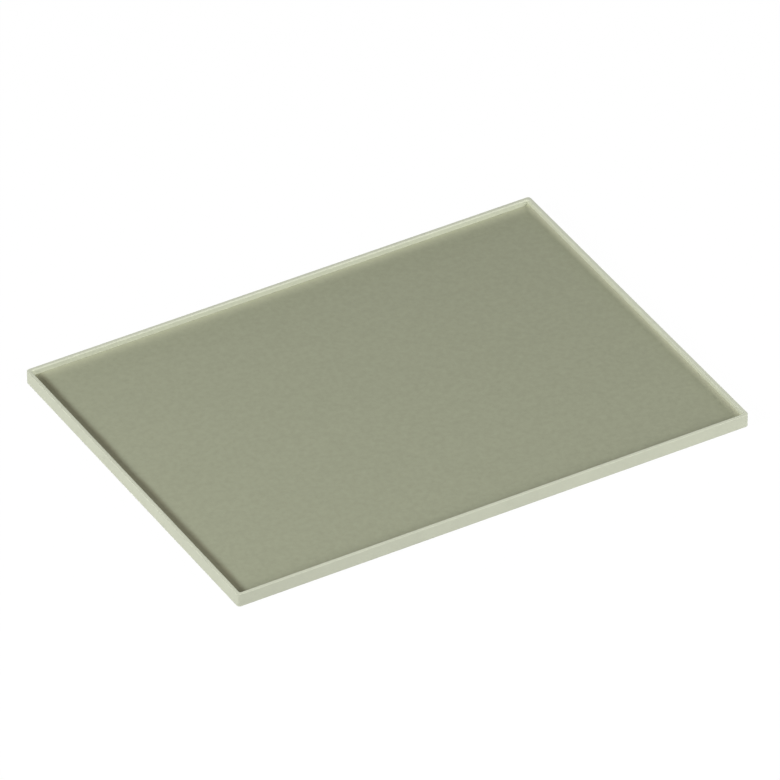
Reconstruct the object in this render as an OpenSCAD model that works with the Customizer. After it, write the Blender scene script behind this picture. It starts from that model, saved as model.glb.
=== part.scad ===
// Wet palette: a shallow moulded tray that holds a wet sponge, with a painting membrane laid on it.
// The frame stands on the table: origin under the middle of the tray, +X along its length, +Z up.

/* [Tray] */
// Outer length of the tray, along X
tray_l = 300; // [240:1:340]
// Outer width of the tray, along Y
tray_w = 219; // [160:1:260]
// Height of the tray, from its foot to the top of its rim
tray_h = 7.5; // [6.5:0.1:12]
// Thickness of the upright wall
wall_t = 2.2; // [1.9:0.1:3.2]
// Thickness of the floor, above the foot
floor_t = 1.3; // [1:0.1:1.8]

/* [Tray edges] */
// Radius of the upright outer corners
outer_corner_r = 1.8; // [1.2:0.1:6]
// Radius of the upright inner corners
inner_corner_r = 0.8; // [0.6:0.1:4]
// Radius along the outer edge of the rim
lip_outer_r = 0.2; // [0.2:0.1:0.8]
// Radius along the inner edge of the rim
lip_inner_r = 0.8; // [0.3:0.1:1]
// Radius along the outer bottom edge
heel_r = 0.2; // [0.2:0.1:0.8]
// Radius of the cove where the inner wall meets the floor
cove_r = 0.4; // [0.2:0.1:0.5]

/* [Foot] */
// Width of the foot that runs round under the tray's edge
foot_w = 5; // [3:0.5:12]
// Height of the foot, which is also the depth of the panel inside it
foot_h = 0.4; // [0.2:0.1:0.8]
// Radius of the panel's corners
panel_corner_r = 4; // [1:0.5:10]

/* [Sponge] */
// Thickness of the sponge, full of water
sponge_t = 2; // [1.2:0.1:2.6]
// Gap between the sponge and the wall, all round
sponge_gap = 0.5; // [0.5:0.1:2]
// Radius of the sponge's cut corners
sponge_corner_r = 1.2; // [0.6:0.1:6]
// Radius along the sponge's top and bottom edges
sponge_edge_r = 0.4; // [0.2:0.1:0.5]

/* [Membrane] */
// Thickness of the wet membrane sheet
membrane_t = 0.15; // [0.1:0.05:0.3]
// Gap between the membrane and the wall, all round
membrane_gap = 0.3; // [0.3:0.1:2]
// Radius of the membrane's cut corners
membrane_corner_r = 1; // [0.4:0.1:6]

/* [Hidden] */
$fn = 64;

// How far a cut runs past the face that it opens
over = 1;

inner_l = tray_l - 2 * wall_t;
inner_w = tray_w - 2 * wall_t;
floor_top = foot_h + floor_t;
sponge_top = floor_top + sponge_t;

// What rounding with radius r takes off a square edge whose corner lies at (r, r).
module edge_waste(r) {
    difference() {
        square(2 * r);
        circle(r);
    }
}

// Section of a slab from its corner's axis outwards, with rounded top and bottom edges.
module slab_section(reach, thickness, top_r, bottom_r) {
    difference() {
        square([reach, thickness]);
        translate([reach - top_r, thickness - top_r]) edge_waste(top_r);
        translate([reach - bottom_r, bottom_r]) mirror([0, 1]) edge_waste(bottom_r);
    }
}

// Section of the cavity from its corner's axis outwards: a coved foot, an upright wall and a mouth
// that opens over the rounded inner edge of the rim.
module cavity_section() {
    depth = tray_h - floor_top;
    difference() {
        square([inner_corner_r, depth + over]);
        translate([inner_corner_r - cove_r, cove_r]) mirror([0, 1]) edge_waste(cove_r);
    }
    difference() {
        translate([inner_corner_r, depth - lip_inner_r]) square([lip_inner_r, lip_inner_r + over]);
        translate([inner_corner_r + lip_inner_r, depth - lip_inner_r]) circle(lip_inner_r);
    }
}

// Carries a section round a rectangle l by w: four straight sides, four quarter turns of radius
// corner, and a plain middle from height 0 to fill. The section starts at the corners' upright axes.
module carried_round(l, w, corner, fill) {
    run_l = l - 2 * corner;
    run_w = w - 2 * corner;
    translate([-run_l / 2, -run_w / 2, 0]) cube([run_l, run_w, fill]);
    for (side = [0:3]) {
        out = side % 2 == 0 ? run_l / 2 : run_w / 2;
        run = side % 2 == 0 ? run_w : run_l;
        rotate(90 * side) translate([out, 0, 0]) {
            rotate([90, 0, 0]) linear_extrude(run, center = true) children();
            translate([0, run / 2, 0]) rotate_extrude(angle = 90) children();
        }
    }
}

// Tray, moulded in one piece: the wall stands upright all round, and its rim is rounded over inwards.
module tray() {
    color([0.80, 0.81, 0.74])
    difference() {
        carried_round(tray_l, tray_w, outer_corner_r, tray_h)
            slab_section(outer_corner_r, tray_h, lip_outer_r, heel_r);
        translate([0, 0, floor_top])
            carried_round(inner_l, inner_w, inner_corner_r, tray_h - floor_top + over)
                cavity_section();
        translate([0, 0, -over])
            carried_round(tray_l - 2 * foot_w, tray_w - 2 * foot_w, panel_corner_r, foot_h + over)
                square([panel_corner_r, foot_h + over]);
    }
}

// Sponge, cut from a sheet of fine open foam: it lies flat on the floor and wets the membrane.
module sponge() {
    color([0.60, 0.61, 0.52])
    translate([0, 0, floor_top])
        carried_round(inner_l - 2 * sponge_gap, inner_w - 2 * sponge_gap, sponge_corner_r, sponge_t)
            slab_section(sponge_corner_r, sponge_t, sponge_edge_r, sponge_edge_r);
}

// Membrane, a sheet of parchment cut to the tray: it lies on the sponge and is peeled off by a corner.
module membrane() {
    color([0.61, 0.62, 0.53])
    translate([0, 0, sponge_top])
        carried_round(inner_l - 2 * membrane_gap, inner_w - 2 * membrane_gap, membrane_corner_r, membrane_t)
            square([membrane_corner_r, membrane_t]);
}

tray();
sponge();
membrane();
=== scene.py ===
import math

import bpy
import numpy as np
from mathutils import Matrix, Vector


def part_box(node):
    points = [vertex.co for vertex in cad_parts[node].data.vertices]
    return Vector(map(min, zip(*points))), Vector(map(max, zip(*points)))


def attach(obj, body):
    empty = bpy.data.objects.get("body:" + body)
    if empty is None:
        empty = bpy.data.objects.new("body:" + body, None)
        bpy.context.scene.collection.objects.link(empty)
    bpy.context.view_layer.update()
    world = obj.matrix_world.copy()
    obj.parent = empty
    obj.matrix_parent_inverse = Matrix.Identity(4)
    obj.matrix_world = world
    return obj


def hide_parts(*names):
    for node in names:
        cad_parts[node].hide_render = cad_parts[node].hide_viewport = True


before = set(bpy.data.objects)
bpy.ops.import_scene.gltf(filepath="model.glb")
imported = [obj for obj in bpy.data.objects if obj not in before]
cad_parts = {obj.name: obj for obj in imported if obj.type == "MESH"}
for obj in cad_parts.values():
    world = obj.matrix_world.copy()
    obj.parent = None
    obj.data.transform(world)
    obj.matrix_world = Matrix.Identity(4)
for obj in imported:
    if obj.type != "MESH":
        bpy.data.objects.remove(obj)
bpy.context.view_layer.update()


# --- Tray -------------------------------------------------------------------------------------
# One injection-moulded piece of pale sage polypropylene: floor, upright wall, rim and foot.
# The mould is finely spark-eroded, so the skin is matt, and the pigment drifts a little along
# the flow. Nothing is fixed to it; the sponge and the membrane lie loose inside.

MM = 0.001                          # metres in a millimetre

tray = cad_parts["tray"]


def shader_tree(name):
    """A new material with its nodes and its Principled shader."""
    material = bpy.data.materials.new(name)
    material.use_nodes = True
    return material, material.node_tree, material.node_tree.nodes["Principled BSDF"]


def node(tree, kind, settings=None, **sockets):
    """Adds a node. Each setting is one of its properties. Each socket is called by its name,
    with _ for a space, or by its place, as in _0, and is given a value or a link."""
    made = tree.nodes.new(kind)
    for key, value in (settings or {}).items():
        setattr(made, key, value)
    for key, value in sockets.items():
        called = int(key[1:]) if key[1:].isdigit() else key.replace("_", " ")
        if isinstance(value, bpy.types.NodeSocket):
            tree.links.new(value, made.inputs[called])
        else:
            made.inputs[called].default_value = value
    return made


def noise(tree, place, per_metre, detail, roughness=0.5):
    """Noise from 0 to 1, with about per_metre lumps in a metre."""
    return node(tree, "ShaderNodeTexNoise", Vector=place, Scale=per_metre, Detail=detail,
                Roughness=roughness).outputs["Fac"]


def spread(tree, value, low, high):
    """Stretches the middle of a noise, 0.3 to 0.7, over low to high."""
    return node(tree, "ShaderNodeMapRange", Value=value, From_Min=0.3, From_Max=0.7, To_Min=low,
                To_Max=high).outputs["Result"]


def two_tone(tree, value, dark, light):
    """The colour between dark and light that value, from 0 to 1, picks."""
    return node(tree, "ShaderNodeMix", {"data_type": "RGBA"}, _0=value, _6=(*dark, 1),
                _7=(*light, 1)).outputs[2]


SAGE = np.array([0.592, 0.614, 0.488])
PIGMENT_DRIFT = 0.03                # share of the colour, up and down
FLOW_LUMPS = 60                     # per metre
ERODED_GRAIN = 2600                 # per metre
GRAIN_HEIGHT, GRAIN_STRENGTH = 0.006 * MM, 0.5
SKIN_ROUGHNESS = (0.5, 0.58)
SKIN_SPECULAR = 0.3


def sage_moulding():
    """Pale sage plastic: a slow pigment drift, and the grain of an eroded mould in its skin."""
    material, tree, skin = shader_tree("sage_moulding")
    place = node(tree, "ShaderNodeTexCoord").outputs["Object"]
    flow = noise(tree, place, FLOW_LUMPS, detail=4, roughness=0.7)
    pigment = two_tone(tree, spread(tree, flow, 0, 1), SAGE * (1 - PIGMENT_DRIFT),
                       SAGE * (1 + PIGMENT_DRIFT))
    tree.links.new(pigment, skin.inputs["Base Color"])
    grain = noise(tree, place, ERODED_GRAIN, detail=2, roughness=0.6)
    tree.links.new(spread(tree, grain, *SKIN_ROUGHNESS), skin.inputs["Roughness"])
    skin.inputs["Specular IOR Level"].default_value = SKIN_SPECULAR
    bump = node(tree, "ShaderNodeBump", Strength=GRAIN_STRENGTH, Distance=GRAIN_HEIGHT,
                Height=grain)
    tree.links.new(bump.outputs["Normal"], skin.inputs["Normal"])
    return material


tray.data.materials.clear()
tray.data.materials.append(sage_moulding())


# --- Sponge -----------------------------------------------------------------------------------
# A sheet of fine open-cell foam, knife-cut to the tray and soaked. It lies flat on the floor
# under its own weight and wets the membrane from below.

sponge_low, sponge_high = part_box("sponge")
SPONGE_CORNER = 1.2 * MM
SPONGE_EDGE = 0.4 * MM              # radius along the cut edges
SPONGE_STEP = 2.5 * MM
SPONGE_LINES = np.array([0, 0.03, 0.1, 0.2, 0.3, 0.4, 0.8, 1.2, 2.4]) * MM  # in from the edge
SHARP_TURN = math.radians(40)       # an edge that turns more than this stays crisp
SWELL = 0.02 * MM
SWELL_LENGTH, SWELL_START = 19 * MM, 1.1  # its length for each radian, and its start
SWELL_WIDTH, SWELL_SIDE_START = 23 * MM, -0.4

FOAM_DARK = (0.15, 0.158, 0.11)
FOAM_LIGHT = (0.33, 0.342, 0.25)
CELLS = 1500                        # per metre
LUMPS, LUMP_SHARE = 300, 0.5        # per metre, and how far they lighten the cell walls
DAMP_PATCHES, DAMP_SHADE = 25, 0.12
FOAM_ROUGHNESS = (0.55, 0.8)
PORE_DEPTH, PORE_STRENGTH = 0.15 * MM, 0.8


def stations(half, step, lines):
    """Places along one side, from -half to half: at the given lines near both ends, which are
    measured inwards from the edge, and about a step apart between them."""
    middle = np.linspace(-half + lines[-1], half - lines[-1], int(2 * half / step))
    return np.concatenate([-half + lines[:-1], middle, half - lines[-2::-1]])


def cut_plan(half_l, half_w, corner, step, lines):
    """A grid over a rectangle. In each corner square the grid is drawn in to a quarter disc:
    a point's offset from the corner's centre is scaled by its longer side over its length."""
    x, y = np.meshgrid(stations(half_l, step, lines), stations(half_w, step, lines), indexing="ij")
    away_x = np.maximum(np.abs(x) - (half_l - corner), 0)
    away_y = np.maximum(np.abs(y) - (half_w - corner), 0)
    length = np.hypot(away_x, away_y)
    scale = np.where(length > 0, np.maximum(away_x, away_y) / np.where(length > 0, length, 1), 1)
    x = np.sign(x) * (np.minimum(np.abs(x), half_l - corner) + away_x * scale)
    y = np.sign(y) * (np.minimum(np.abs(y), half_w - corner) + away_y * scale)
    return x, y


def edge_distance(x, y, half_l, half_w, corner):
    """How far a point lies inside a rounded rectangle: in a corner square, the corner's radius
    less the distance from its centre, and elsewhere the distance to the nearer side."""
    away_x = np.maximum(np.abs(x) - (half_l - corner), 0)
    away_y = np.maximum(np.abs(y) - (half_w - corner), 0)
    straight = np.minimum(half_l - np.abs(x), half_w - np.abs(y))
    round_off = corner - np.hypot(away_x, away_y)
    return np.maximum(np.where((away_x > 0) & (away_y > 0), round_off, straight), 0)


def closed_slab(name, x, y, bottom, top):
    """A closed piece between two height fields over one grid: both skins and the rim between."""
    across, along = x.shape
    lower = np.stack([x, y, bottom], -1).reshape(-1, 3)
    upper = np.stack([x, y, top], -1).reshape(-1, 3)
    index = np.arange(across * along).reshape(across, along)
    corners = [index[:-1, :-1], index[1:, :-1], index[1:, 1:], index[:-1, 1:]]
    quads = np.stack(corners, -1).reshape(-1, 4)
    loop = np.concatenate([index[:-1, 0], index[-1, :-1], index[:0:-1, -1], index[0, :0:-1]])
    after = np.roll(loop, -1)
    offset = across * along
    rim = np.stack([loop, after, after + offset, loop + offset], -1)
    faces = np.concatenate([quads[:, ::-1], quads + offset, rim])
    mesh = bpy.data.meshes.new(name)
    mesh.from_pydata(np.concatenate([lower, upper]).tolist(), [], faces.tolist())
    mesh.shade_smooth()
    mesh.set_sharp_from_angle(angle=SHARP_TURN)
    piece = bpy.data.objects.new(name, mesh)
    bpy.context.scene.collection.objects.link(piece)
    return piece


def foam_sheet():
    """The two skins fall away at the edge on a quarter circle. The top also swells very
    slightly: it sinks by SWELL times one plus a sine along the sponge times a cosine across."""
    half_l, half_w = sponge_high.x, sponge_high.y
    x, y = cut_plan(half_l, half_w, SPONGE_CORNER, SPONGE_STEP, SPONGE_LINES)
    inside = np.minimum(edge_distance(x, y, half_l, half_w, SPONGE_CORNER), SPONGE_EDGE)
    fall = SPONGE_EDGE - np.sqrt(SPONGE_EDGE ** 2 - (SPONGE_EDGE - inside) ** 2)
    waves = np.sin(x / SWELL_LENGTH + SWELL_START) * np.cos(y / SWELL_WIDTH + SWELL_SIDE_START)
    swell = SWELL * (1 + waves)
    return closed_slab("foam_sponge", x, y, sponge_low.z + fall, sponge_high.z - fall - swell)


def wet_foam():
    """Soaked foam: a net of lighter cell walls round small dark pores, and slow damp patches."""
    material, tree, skin = shader_tree("wet_foam")
    place = node(tree, "ShaderNodeTexCoord").outputs["Object"]
    cells = node(tree, "ShaderNodeTexVoronoi", Vector=place, Scale=CELLS).outputs["Distance"]
    lumps = noise(tree, place, LUMPS, detail=3)
    damp = spread(tree, noise(tree, place, DAMP_PATCHES, detail=2), -DAMP_SHADE, DAMP_SHADE)
    walls = node(tree, "ShaderNodeMath", {"operation": "MULTIPLY_ADD"}, _0=lumps, _1=LUMP_SHARE,
                 _2=cells).outputs[0]
    shade = node(tree, "ShaderNodeMath", {"operation": "ADD", "use_clamp": True}, _0=walls,
                 _1=damp).outputs[0]
    tree.links.new(two_tone(tree, shade, FOAM_DARK, FOAM_LIGHT), skin.inputs["Base Color"])
    tree.links.new(spread(tree, lumps, *FOAM_ROUGHNESS), skin.inputs["Roughness"])
    bump = node(tree, "ShaderNodeBump", Strength=PORE_STRENGTH, Distance=PORE_DEPTH, Height=walls)
    tree.links.new(bump.outputs["Normal"], skin.inputs["Normal"])
    return material


sponge = foam_sheet()
sponge.data.materials.append(wet_foam())
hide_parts("sponge")
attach(sponge, "sponge")


# --- Membrane ---------------------------------------------------------------------------------
# A sheet of hydration parchment, cut square to the tray's well and laid on the wet sponge, where
# it clings flat. A shadow is painted into its colour along the left wall. Its right and far edges
# have turned up a little and are paler, partly from drying and partly from painted light
# reflected off the lit walls. It peels off by a corner.

membrane_low, membrane_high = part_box("membrane")
SHEET_LENGTH, SHEET_WIDTH = 295.54 * MM, 214.54 * MM
SHEET_THICKNESS = membrane_high.z - membrane_low.z
SHEET_CORNER = 0.9 * MM
SHEET_STEP = 2 * MM
SHEET_LINES = np.array([0, 0.25, 0.5, 0.75, 1, 1.4, 1.8, 2.3, 2.9, 3.6, 5]) * MM  # in from the edge
RIGHT_RISE, RIGHT_REACH = 1.1 * MM, 3.1 * MM
FAR_RISE, FAR_REACH = 0.4 * MM, 6.0 * MM
FAR_DRY_AND_PAINTED_LIGHT = 0.55                  # of the right edge's
COCKLE = 0.012 * MM
COCKLE_LENGTH = 13 * MM             # for each radian
COCKLE_WIDTH, COCKLE_SIDE_START = 17 * MM, 1
SWAY, SWAY_WIDTH = 2, 31 * MM       # in radians, and its width for each radian

PARCHMENT = np.array([0.324, 0.338, 0.238])
MOTTLE = 0.08                       # share of the colour, up and down
# The curled edges' colour: paper paled by drying, brightened further by painted light reflected off
# the lit walls.
DRY_PARCHMENT_WITH_PAINTED_LIGHT = PARCHMENT * (1.42, 1.38, 1.42)
# Painted shadow along the left wall: full for the first few millimetres, gone by the reach, with a
# wandering edge.
PAINTED_SHADOW_SHARE = (0.78, 0.73, 0.69)   # painted shadow: share of the damp colour kept at the left wall
PAINTED_SHADOW_FULL, PAINTED_SHADOW_REACH = 4.4 * MM, 7.2 * MM
PAINTED_SHADOW_WANDER = 3.5 * MM
END_TO_END = 0.12                   # of the shade, up at the left end and down at the right
CLUMPS, CLUMP_SHARE = 320, 0.85     # per metre, and their share of the shade
CLOUDS, CLOUD_SHARE = 22, 0.05
STREAKS, STREAK_SHARE = (6, 34, 1), 0.1
CLUMP_HEIGHT, CLUMP_STRENGTH = 0.01 * MM, 0.4
PAPER_ROUGHNESS = (0.57, 0.63)
PAPER_SPECULAR = 0.2


def parchment_sheet():
    """Its height over the sponge is a faint cockle plus the curl of the right and far edges,
    which grows with the square of how far a point has come through the curling strip. The
    cockle is one plus a sine along the sheet, whose crests sway, times a sine across it."""
    half_l, half_w = SHEET_LENGTH / 2, SHEET_WIDTH / 2
    x, y = cut_plan(half_l, half_w, SHEET_CORNER, SHEET_STEP, SHEET_LINES)
    right = np.clip(1 - (half_l - x) / RIGHT_REACH, 0, 1)
    far = np.clip(1 - (half_w - y) / FAR_REACH, 0, 1)
    curl = np.maximum(RIGHT_RISE * right ** 2, FAR_RISE * far ** 2)
    crests = np.sin(x / COCKLE_LENGTH + SWAY * np.sin(y / SWAY_WIDTH))
    cockle = COCKLE * (1 + crests * np.sin(y / COCKLE_WIDTH + COCKLE_SIDE_START))
    rest = membrane_low.z + curl + cockle
    piece = closed_slab("parchment_membrane", x, y, rest, rest + SHEET_THICKNESS)
    # How far each point lies in the curled edges, which take the dry colour and its painted
    # reflected light.
    dry_and_painted_light = np.maximum(right, FAR_DRY_AND_PAINTED_LIGHT * far).ravel()
    mark = piece.data.attributes.new("dry_and_painted_light", "FLOAT", "POINT")
    mark.data.foreach_set("value", np.tile(dry_and_painted_light, 2))
    return piece


def wet_parchment():
    """Damp parchment. Its shade is a mottle of fibre clumps, with faint streaks of the paper
    machine, slow clouds and a drift from end to end. A shadow is painted darker at the left end,
    up to a front that wanders with the streaks. The curled edges are paler, partly dry and partly
    painted light reflected off the lit walls. The clumps also stand up by a few thousandths of a
    millimetre."""
    material, tree, skin = shader_tree("wet_parchment")
    place = node(tree, "ShaderNodeTexCoord").outputs["Object"]
    clumps = noise(tree, place, CLUMPS, detail=5, roughness=0.75)
    stretched = node(tree, "ShaderNodeMapping", Vector=place, Scale=STREAKS).outputs["Vector"]
    streaks = noise(tree, stretched, 1, detail=2)
    clouds = noise(tree, place, CLOUDS, detail=3)
    along = node(tree, "ShaderNodeSeparateXYZ", Vector=place).outputs["X"]
    shade = node(tree, "ShaderNodeMapRange", Value=along, From_Min=-SHEET_LENGTH / 2,
                 From_Max=SHEET_LENGTH / 2, To_Min=END_TO_END, To_Max=-END_TO_END).outputs["Result"]
    for layer, share in ((clumps, CLUMP_SHARE), (streaks, STREAK_SHARE), (clouds, CLOUD_SHARE)):
        shade = node(tree, "ShaderNodeMath", {"operation": "MULTIPLY_ADD"}, _0=layer, _1=share,
                     _2=shade).outputs[0]
    damp = two_tone(tree, spread(tree, shade, 0, 1), PARCHMENT * (1 - MOTTLE),
                    PARCHMENT * (1 + MOTTLE))
    # Painted shadow: the colour is darkened along the left wall, up to an edge that wanders with
    # the streaks.
    front = node(tree, "ShaderNodeMath", {"operation": "MULTIPLY_ADD"}, _0=streaks,
                 _1=PAINTED_SHADOW_WANDER, _2=along).outputs[0]
    left_end = -SHEET_LENGTH / 2 + PAINTED_SHADOW_WANDER / 2
    painted_shadow_mask = node(tree, "ShaderNodeMapRange", {"interpolation_type": "SMOOTHSTEP"}, Value=front,
                   From_Min=left_end + PAINTED_SHADOW_FULL, From_Max=left_end + PAINTED_SHADOW_REACH,
                   To_Min=1, To_Max=0).outputs["Result"]
    painted_shadow_colour = node(tree, "ShaderNodeMix", {"data_type": "RGBA", "blend_type": "MULTIPLY"},
                  _0=painted_shadow_mask, _6=damp, _7=(*PAINTED_SHADOW_SHARE, 1)).outputs[2]
    # Curled edges turn paler: partly dry paper, partly painted light reflected off the lit walls.
    dry_and_painted_light = node(tree, "ShaderNodeAttribute", {"attribute_name": "dry_and_painted_light"}).outputs["Fac"]
    colour = node(tree, "ShaderNodeMix", {"data_type": "RGBA"}, _0=dry_and_painted_light, _6=painted_shadow_colour,
                  _7=(*DRY_PARCHMENT_WITH_PAINTED_LIGHT, 1)).outputs[2]
    tree.links.new(colour, skin.inputs["Base Color"])
    tree.links.new(spread(tree, clouds, *PAPER_ROUGHNESS), skin.inputs["Roughness"])
    skin.inputs["Specular IOR Level"].default_value = PAPER_SPECULAR
    bump = node(tree, "ShaderNodeBump", Strength=CLUMP_STRENGTH, Distance=CLUMP_HEIGHT,
                Height=clumps)
    tree.links.new(bump.outputs["Normal"], skin.inputs["Normal"])
    return material


membrane = parchment_sheet()
membrane.data.materials.append(wet_parchment())
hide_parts("membrane")
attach(membrane, "membrane")


# --- Table and background ---------------------------------------------------------------------
# A plain white table. What the camera and shiny things see of it is white, and the object's
# own shadow stays on it faintly. It isn't part of the object.

TABLE_HALF = 12.0
TABLE_TOP = -0.02 * MM              # a hair below the tray's foot, so the two faces don't mix
TABLE_COLOUR = 0.3
TABLE_DRIFT = 0.01                  # share of the colour
TABLE_LUMPS = 3                     # per metre
TABLE_ROUGHNESS = 0.9
SHADOW_SHARE = 0.06                 # of what is seen, left to the lit table and its shadow
WHITE = 1.05                        # makes the other share and the lit table come to 1 together


def seen_directly(tree):
    """1 for camera, glossy and clear rays, and 0 for the rays that carry light to a surface."""
    path = node(tree, "ShaderNodeLightPath").outputs
    shiny = node(tree, "ShaderNodeMath", {"operation": "MAXIMUM"}, _0=path["Is Glossy Ray"],
                 _1=path["Is Transmission Ray"]).outputs[0]
    return node(tree, "ShaderNodeMath", {"operation": "MAXIMUM"}, _0=path["Is Camera Ray"],
                _1=shiny).outputs[0]


def white_unless_lit(tree, lit, surface):
    """Joins a lit shader with plain white light, which only rays that see it directly meet."""
    share = node(tree, "ShaderNodeMath", {"operation": "MULTIPLY"}, _0=seen_directly(tree),
                 _1=1 - SHADOW_SHARE)
    white = node(tree, "ShaderNodeEmission", Color=(1, 1, 1, 1), Strength=WHITE)
    both = node(tree, "ShaderNodeMixShader", _0=share.outputs[0], _1=lit, _2=white.outputs[0])
    tree.links.new(both.outputs[0], surface)


def table_top():
    """One large level square, with a faint drift in its white."""
    mesh = bpy.data.meshes.new("table")
    corners = [(x * TABLE_HALF, y * TABLE_HALF, TABLE_TOP) for x, y in
               ((-1, -1), (1, -1), (1, 1), (-1, 1))]
    mesh.from_pydata(corners, [], [(0, 1, 2, 3)])
    piece = bpy.data.objects.new("table", mesh)
    bpy.context.scene.collection.objects.link(piece)
    material, tree, skin = shader_tree("white_table")
    place = node(tree, "ShaderNodeTexCoord").outputs["Object"]
    tone = spread(tree, noise(tree, place, TABLE_LUMPS, detail=2), 0, 1)
    colour = two_tone(tree, tone, (TABLE_COLOUR,) * 3, (TABLE_COLOUR * (1 + TABLE_DRIFT),) * 3)
    tree.links.new(colour, skin.inputs["Base Color"])
    skin.inputs["Roughness"].default_value = TABLE_ROUGHNESS
    skin.inputs["Specular IOR Level"].default_value = 0.0
    white_unless_lit(tree, skin.outputs[0], tree.nodes["Material Output"].inputs["Surface"])
    mesh.materials.append(material)
    return piece


table = table_top()


# --- Light ------------------------------------------------------------------------------------
# Four soft boxes in a dim even room: a strong one beyond the tray's left end, a tall one before
# it, one to the right of that, and a weak one behind, which keeps the back wall from going
# black. All stand low, so the left wall throws a soft shadow.

ROOM = 0.02                         # strength of the room's own light
SOFT_BOXES = {                      # compass from +X, height angle, distance, width, height, watts
    "end_box": (177, 28, 2.2, 0.44, 0.6, 42),
    "front_box": (-90, 25, 3.0, 1.0, 2.2, 36),
    "right_box": (-50, 30, 1.5, 0.5, 0.8, 13.2),
    "back_box": (65, 7, 3.0, 1.2, 0.6, 9),
}


def soft_box(name, compass, height, away, wide, tall, watts):
    """A rectangular lamp that faces the tray's middle from that direction."""
    lamp = bpy.data.lights.new(name, "AREA")
    lamp.shape = "RECTANGLE"
    lamp.energy, lamp.size, lamp.size_y = watts, wide, tall
    holder = bpy.data.objects.new(name, lamp)
    bpy.context.scene.collection.objects.link(holder)
    a, e = math.radians(compass), math.radians(height)
    out = Vector((math.cos(e) * math.cos(a), math.cos(e) * math.sin(a), math.sin(e)))
    holder.location = out * away
    holder.rotation_euler = out.to_track_quat("Z", "Y").to_euler()
    holder.visible_camera = False


for name, values in SOFT_BOXES.items():
    soft_box(name, *values)

room = bpy.data.worlds.new("room")
bpy.context.scene.world = room
room.use_nodes = True
room_light = room.node_tree.nodes["Background"]
room_light.inputs["Color"].default_value = (1, 1, 1, 1)
level = node(room.node_tree, "ShaderNodeMapRange", Value=seen_directly(room.node_tree),
             To_Min=ROOM, To_Max=1.0)
room.node_tree.links.new(level.outputs["Result"], room_light.inputs["Strength"])


# --- Camera -----------------------------------------------------------------------------------
# A long lens, 37 degrees above the table and 30 degrees to the left of the tray's front.

RIGHT = Vector((0.86348, -0.50438, 0.0))
FORWARD = Vector((0.40399, 0.69161, -0.59871))
UP = Vector((0.30198, 0.51697, 0.80095))
AWAY, ASIDE, RAISED = 6.9245, -0.0017345, -0.0070555   # of the origin, as the lens sees it
LENS, FILM = 625.34, 36                                # in millimetres
FARTHEST = 100

camera = bpy.data.cameras.new("camera")
camera.lens, camera.sensor_width = LENS, FILM
camera.clip_end = FARTHEST
tripod = bpy.data.objects.new("camera", camera)
bpy.context.scene.collection.objects.link(tripod)
stand = -ASIDE * RIGHT - RAISED * UP - AWAY * FORWARD
turned = [(RIGHT[i], UP[i], -FORWARD[i], stand[i]) for i in range(3)]
tripod.matrix_world = Matrix(turned + [(0, 0, 0, 1)])
bpy.context.scene.camera = tripod

bpy.context.scene.view_settings.view_transform = "Standard"
